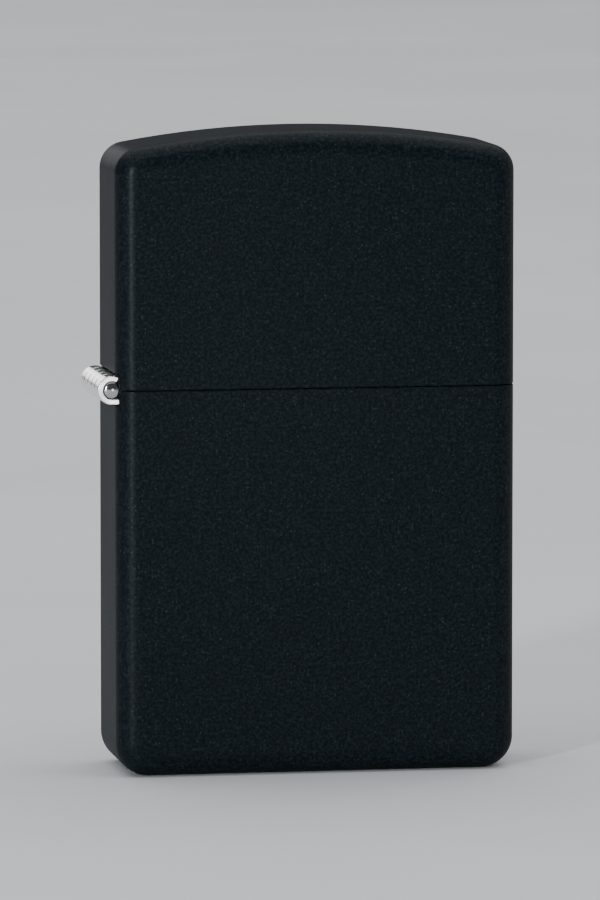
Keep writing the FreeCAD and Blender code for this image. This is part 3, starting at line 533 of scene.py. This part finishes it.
shape = bmesh.new()
rings = []
up = Vector((0, 0, 1))
for step in range((open_turns + 2 * closed_turns) * steps_a_turn + 1):
    turn = step / steps_a_turn
    spoke = Vector((math.cos(2 * math.pi * turn), math.sin(2 * math.pi * turn), 0))
    middle = coil_foot + spoke * coil_r + up * coil_height(turn)
    rings.append(ring_at(shape, middle, spoke, up, wire_r, wire_sides))
skinned(shape, rings)
coil = made_piece("flint_spring_wound", shape, wire, "case", crease=60)
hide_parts("flint_spring")
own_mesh(coil)

# ------------------------------------------------------------------ spark wheel
# A hardened, blackened steel wheel that turns on a riveted axle between the ears of the screen. Its
# teeth are cut on a slant, its hubs are finely ridged, and its tips are rubbed bright.
wheel_low, wheel_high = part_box("flint_wheel")
wheel_centre = (wheel_low + wheel_high) / 2
wheel_r = (wheel_high.z - wheel_low.z) / 2
hub_face = wheel_high.y
band_half = 2.2 * mm
hub_r = 2.5 * mm
bore_r = 0.86 * mm
tooth_depth = 0.36 * mm
tooth_count = 36
tooth_slant = 0.9
tooth_steps = 8
wheel_sides = tooth_count * tooth_steps
rim_depth = 0.10 * mm
rubbed_depth = 0.45 * tooth_depth
hub_chamfer = 0.15 * mm
hub_chamfer_width = 0.12 * mm
band_step_width = 0.02 * mm
band_chamfer = 0.18 * mm
band_steps = 12
steel, tree, shader = new_material("wheel_steel")
place = node(tree, "TexCoord")
from_axle = node(tree, "VectorMath", operation="SUBTRACT")
from_axle.inputs[1].default_value = wheel_centre
flat = node(tree, "VectorMath", operation="MULTIPLY")
flat.inputs[1].default_value = (1, 0, 1)
span = node(tree, "VectorMath", operation="LENGTH")
tree.links.new(place.outputs["Object"], from_axle.inputs[0])
tree.links.new(from_axle.outputs["Vector"], flat.inputs[0])
tree.links.new(flat.outputs["Vector"], span.inputs[0])
tips = node(tree, "MapRange", From_Min=wheel_r - rubbed_depth, From_Max=wheel_r)
tree.links.new(span.outputs["Value"], tips.inputs["Value"])
wheel_tone = two_tone(tree, tips.outputs["Result"], (0.07, 0.07, 0.075), (0.42, 0.41, 0.40))
tree.links.new(wheel_tone.outputs["Result"], shader.inputs["Base Color"])
worn = use(tree, cloud, Size=900.0, Low=0.28, High=0.5)
tree.links.new(worn.outputs["Value"], shader.inputs["Roughness"])
shader.inputs["Metallic"].default_value = 1.0


def wheel_spot(side, across, drop):
    """A point of the wheel's outside: toothed on the band, finely ridged on the hubs."""
    lean = tooth_slant * max(-1, min(1, across / band_half)) / tooth_count
    turn = 2 * math.pi * (side / wheel_sides - lean)
    if abs(across) <= band_half:
        radius = wheel_r - tooth_depth * (side % tooth_steps) / tooth_steps + drop
    else:
        ridge = 0.5 + 0.5 * math.cos(2 * math.pi * side / tooth_steps)
        radius = hub_r - rim_depth * ridge + drop
    return wheel_centre + Vector((radius * math.cos(turn), across, radius * math.sin(turn)))


stations = [
    (-hub_face, -hub_chamfer),
    (-hub_face + hub_chamfer_width, 0),
    (-band_half - band_step_width, 0),
]
hub_stations = len(stations)
for step in range(band_steps + 1):
    edge_drop = band_chamfer if step in (0, band_steps) else 0
    stations.append((-band_half + 2 * band_half * step / band_steps, -edge_drop))
stations += [(-across, drop) for across, drop in reversed(stations[:hub_stations])]
shape = bmesh.new()
rings = []
for across, drop in stations:
    rings.append([shape.verts.new(wheel_spot(side, across, drop)) for side in range(wheel_sides)])
sideways = Vector((1, 0, 0))
for across in (hub_face, -hub_face):
    bore_middle = wheel_centre + Vector((0, across, 0))
    rings.append(ring_at(shape, bore_middle, sideways, up, bore_r, wheel_sides))
skinned(shape, rings + rings[:1], capped=False)
spark_wheel = made_piece("spark_wheel_cut", shape, steel, "spark_wheel", crease=28)
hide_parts("flint_wheel")

# ------------------------------------------------------------------ wick
# Seven twisted cotton strands with thin copper wires laid over them. It comes down from the
# wind screen into the tank, where it is folded twice; the tip is charred.
wick_low, wick_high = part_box("wick")
wick_r = 1.3 * mm
wick_x = wick_high.x - wick_r
wick_end_x = wick_low.x + wick_r
wick_bend = (wick_x - wick_end_x) / 4
lower_turn_z = wick_low.z + wick_r + wick_bend
under_plate = 2.6 * mm
upper_turn_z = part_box("chimney")[0].z - under_plate - wick_r - wick_bend
route_step = 0.35 * mm
char_top = 0.5 * mm
char_reach = 2.4 * mm
tip_length = 1.2 * mm
tip_gather = 0.12
slub = 0.06
slub_size = 900


def wick_route():
    """Points down the middle of the wick, from its tip to its end in the tank."""
    points = []

    def run(x, start, end):
        count = max(2, round(abs(end - start) / route_step))
        points.extend(Vector((x, 0, start + (end - start) * step / count)) for step in range(count))

    def fold(x, z, sign):
        count = round(math.pi * wick_bend / route_step)
        for step in range(count):
            turn = math.pi * step / count
            bend = Vector((math.cos(turn), 0, -sign * math.sin(turn))) * wick_bend
            points.append(Vector((x, 0, z)) + bend)

    run(wick_x, wick_high.z, lower_turn_z)
    fold(wick_x - wick_bend, lower_turn_z, 1)
    run(wick_x - 2 * wick_bend, lower_turn_z, upper_turn_z)
    fold(wick_x - 3 * wick_bend, upper_turn_z, -1)
    run(wick_end_x, upper_turn_z, wick_low.z)
    points.append(Vector((wick_end_x, 0, wick_low.z)))
    return points


def strands(name, route, count, orbit, thickness, pitch, material, sides=8):
    """A bundle of strands twisted round a route, drawn together at its tip."""
    shape = bmesh.new()
    front = Vector((0, 1, 0))
    last = len(route) - 1
    for strand in range(count):
        rings = []
        travelled = 0
        for index, point in enumerate(route):
            ahead = route[min(index + 1, last)] - route[max(index - 1, 0)]
            ahead.normalize()
            aside = ahead.cross(front)
            if index:
                travelled += (point - route[index - 1]).length
            turn = 2 * math.pi * (strand / count + travelled / pitch)
            gathered = 1 - tip_gather * max(0, 1 - travelled / tip_length)
            middle = point + (aside * math.cos(turn) + front * math.sin(turn)) * orbit * gathered
            lump = noise.noise(middle * slub_size + Vector((strand, 0, 0)))
            uneven_r = thickness * (1 - slub + slub * lump)
            rings.append(ring_at(shape, middle, aside, front, uneven_r, sides))
        skinned(shape, rings)
    return made_piece(name, shape, material, "case")


cotton_cord, tree, shader = new_material("wick_cotton")
fibre = use(tree, cloud, Size=4200.0)
yarn = two_tone(tree, fibre.outputs["Value"], (0.50, 0.44, 0.34), (0.80, 0.75, 0.65))
place = node(tree, "TexCoord")
upward = node(tree, "SeparateXYZ")
tree.links.new(place.outputs["Object"], upward.inputs["Vector"])
burnt = node(tree, "MapRange", To_Max=0.95)
burnt.inputs["From Min"].default_value = wick_high.z - char_reach
burnt.inputs["From Max"].default_value = wick_high.z - char_top
tree.links.new(upward.outputs["Z"], burnt.inputs["Value"])
char = node(tree, "Mix", data_type="RGBA")
char.inputs["B"].default_value = (0.018, 0.015, 0.013, 1)
tree.links.new(burnt.outputs["Result"], char.inputs["Factor"])
tree.links.new(yarn.outputs["Result"], char.inputs["A"])
tree.links.new(char.outputs["Result"], shader.inputs["Base Color"])
raised(tree, shader, fibre.outputs["Value"], strength=0.8, distance=0.06 * mm)
shader.inputs["Roughness"].default_value = 0.92

copper, tree, shader = new_material("wick_copper")
dull = use(tree, cloud, Size=1200.0)
copper_tone = two_tone(tree, dull.outputs["Value"], (0.42, 0.17, 0.08), (0.78, 0.36, 0.20))
tree.links.new(copper_tone.outputs["Result"], shader.inputs["Base Color"])
shader.inputs["Roughness"].default_value = 0.35
shader.inputs["Metallic"].default_value = 1.0

route = wick_route()
wick_yarn = strands("wick_yarn", route, count=7, orbit=0.78 * mm, thickness=0.44 * mm,
                    pitch=9 * mm, material=cotton_cord)
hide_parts("wick")
wick_wires = strands("wick_wires", route, count=3, orbit=1.17 * mm, thickness=0.09 * mm,
                     pitch=-7 * mm, material=copper, sides=6)

# ------------------------------------------------------------------ cotton and felt
# Teased cotton wool is packed round the folds of the wick, and a pressed wool felt closes the
# tank from below.
fluff, tree, shader = new_material("cotton_wool")
wisp = use(tree, cloud, Size=2600.0)
wool_tone = two_tone(tree, wisp.outputs["Value"], (0.66, 0.65, 0.61), (0.88, 0.87, 0.84))
tree.links.new(wool_tone.outputs["Result"], shader.inputs["Base Color"])
raised(tree, shader, wisp.outputs["Value"], strength=1.0, distance=0.1 * mm)
shader.inputs["Roughness"].default_value = 0.95
shader.inputs["Sheen Weight"].default_value = 0.3

felt, tree, shader = new_material("wool_felt")
matted = use(tree, cloud, Size=3800.0)
felt_tone = two_tone(tree, matted.outputs["Value"], (0.40, 0.385, 0.35), (0.62, 0.60, 0.56))
tree.links.new(felt_tone.outputs["Result"], shader.inputs["Base Color"])
raised(tree, shader, matted.outputs["Value"], strength=0.9, distance=0.08 * mm)
shader.inputs["Roughness"].default_value = 0.95
shader.inputs["Sheen Weight"].default_value = 0.4


def fibrous(name, replaced, voxel, coarse, relief, material):
    """A soft piece of loose fibre: its plain solid remeshed, with a lumpy surface sunk into it."""
    lump_fineness = 1.0
    lump_spread = 2.0
    lump_layers = 3
    rough = bpy.data.objects.new(name + "_rough", frame["nodes"][replaced].data.copy())
    bpy.context.scene.collection.objects.link(rough)
    remesh = rough.modifiers.new("remesh", "REMESH")
    remesh.mode = "VOXEL"
    remesh.voxel_size = voxel
    depsgraph = bpy.context.evaluated_depsgraph_get()
    mesh = bpy.data.meshes.new_from_object(rough.evaluated_get(depsgraph))
    bpy.data.objects.remove(rough)
    mesh.name = name
    shape = bmesh.new()
    shape.from_mesh(mesh)
    shape.normal_update()
    moves = []
    for vertex in shape.verts:
        lumpy = noise.fractal(vertex.co * coarse, lump_fineness, lump_spread, lump_layers)
        moves.append(vertex.normal * relief * (0.5 * lumpy - 0.5))
    for vertex, move in zip(shape.verts, moves):
        vertex.co += move
    shape.to_mesh(mesh)
    shape.free()
    mesh.materials.clear()
    mesh.materials.append(material)
    mesh.shade_smooth()
    piece = bpy.data.objects.new(name, mesh)
    bpy.context.scene.collection.objects.link(piece)
    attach(piece, "case")
    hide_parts(replaced)


fibrous("cotton_wool_packing", "cotton_packing", voxel=0.35 * mm, coarse=700, relief=0.5 * mm,
        material=fluff)
fibrous("wool_felt_pad", "felt_pad", voxel=0.22 * mm, coarse=2500, relief=0.10 * mm,
        material=felt)
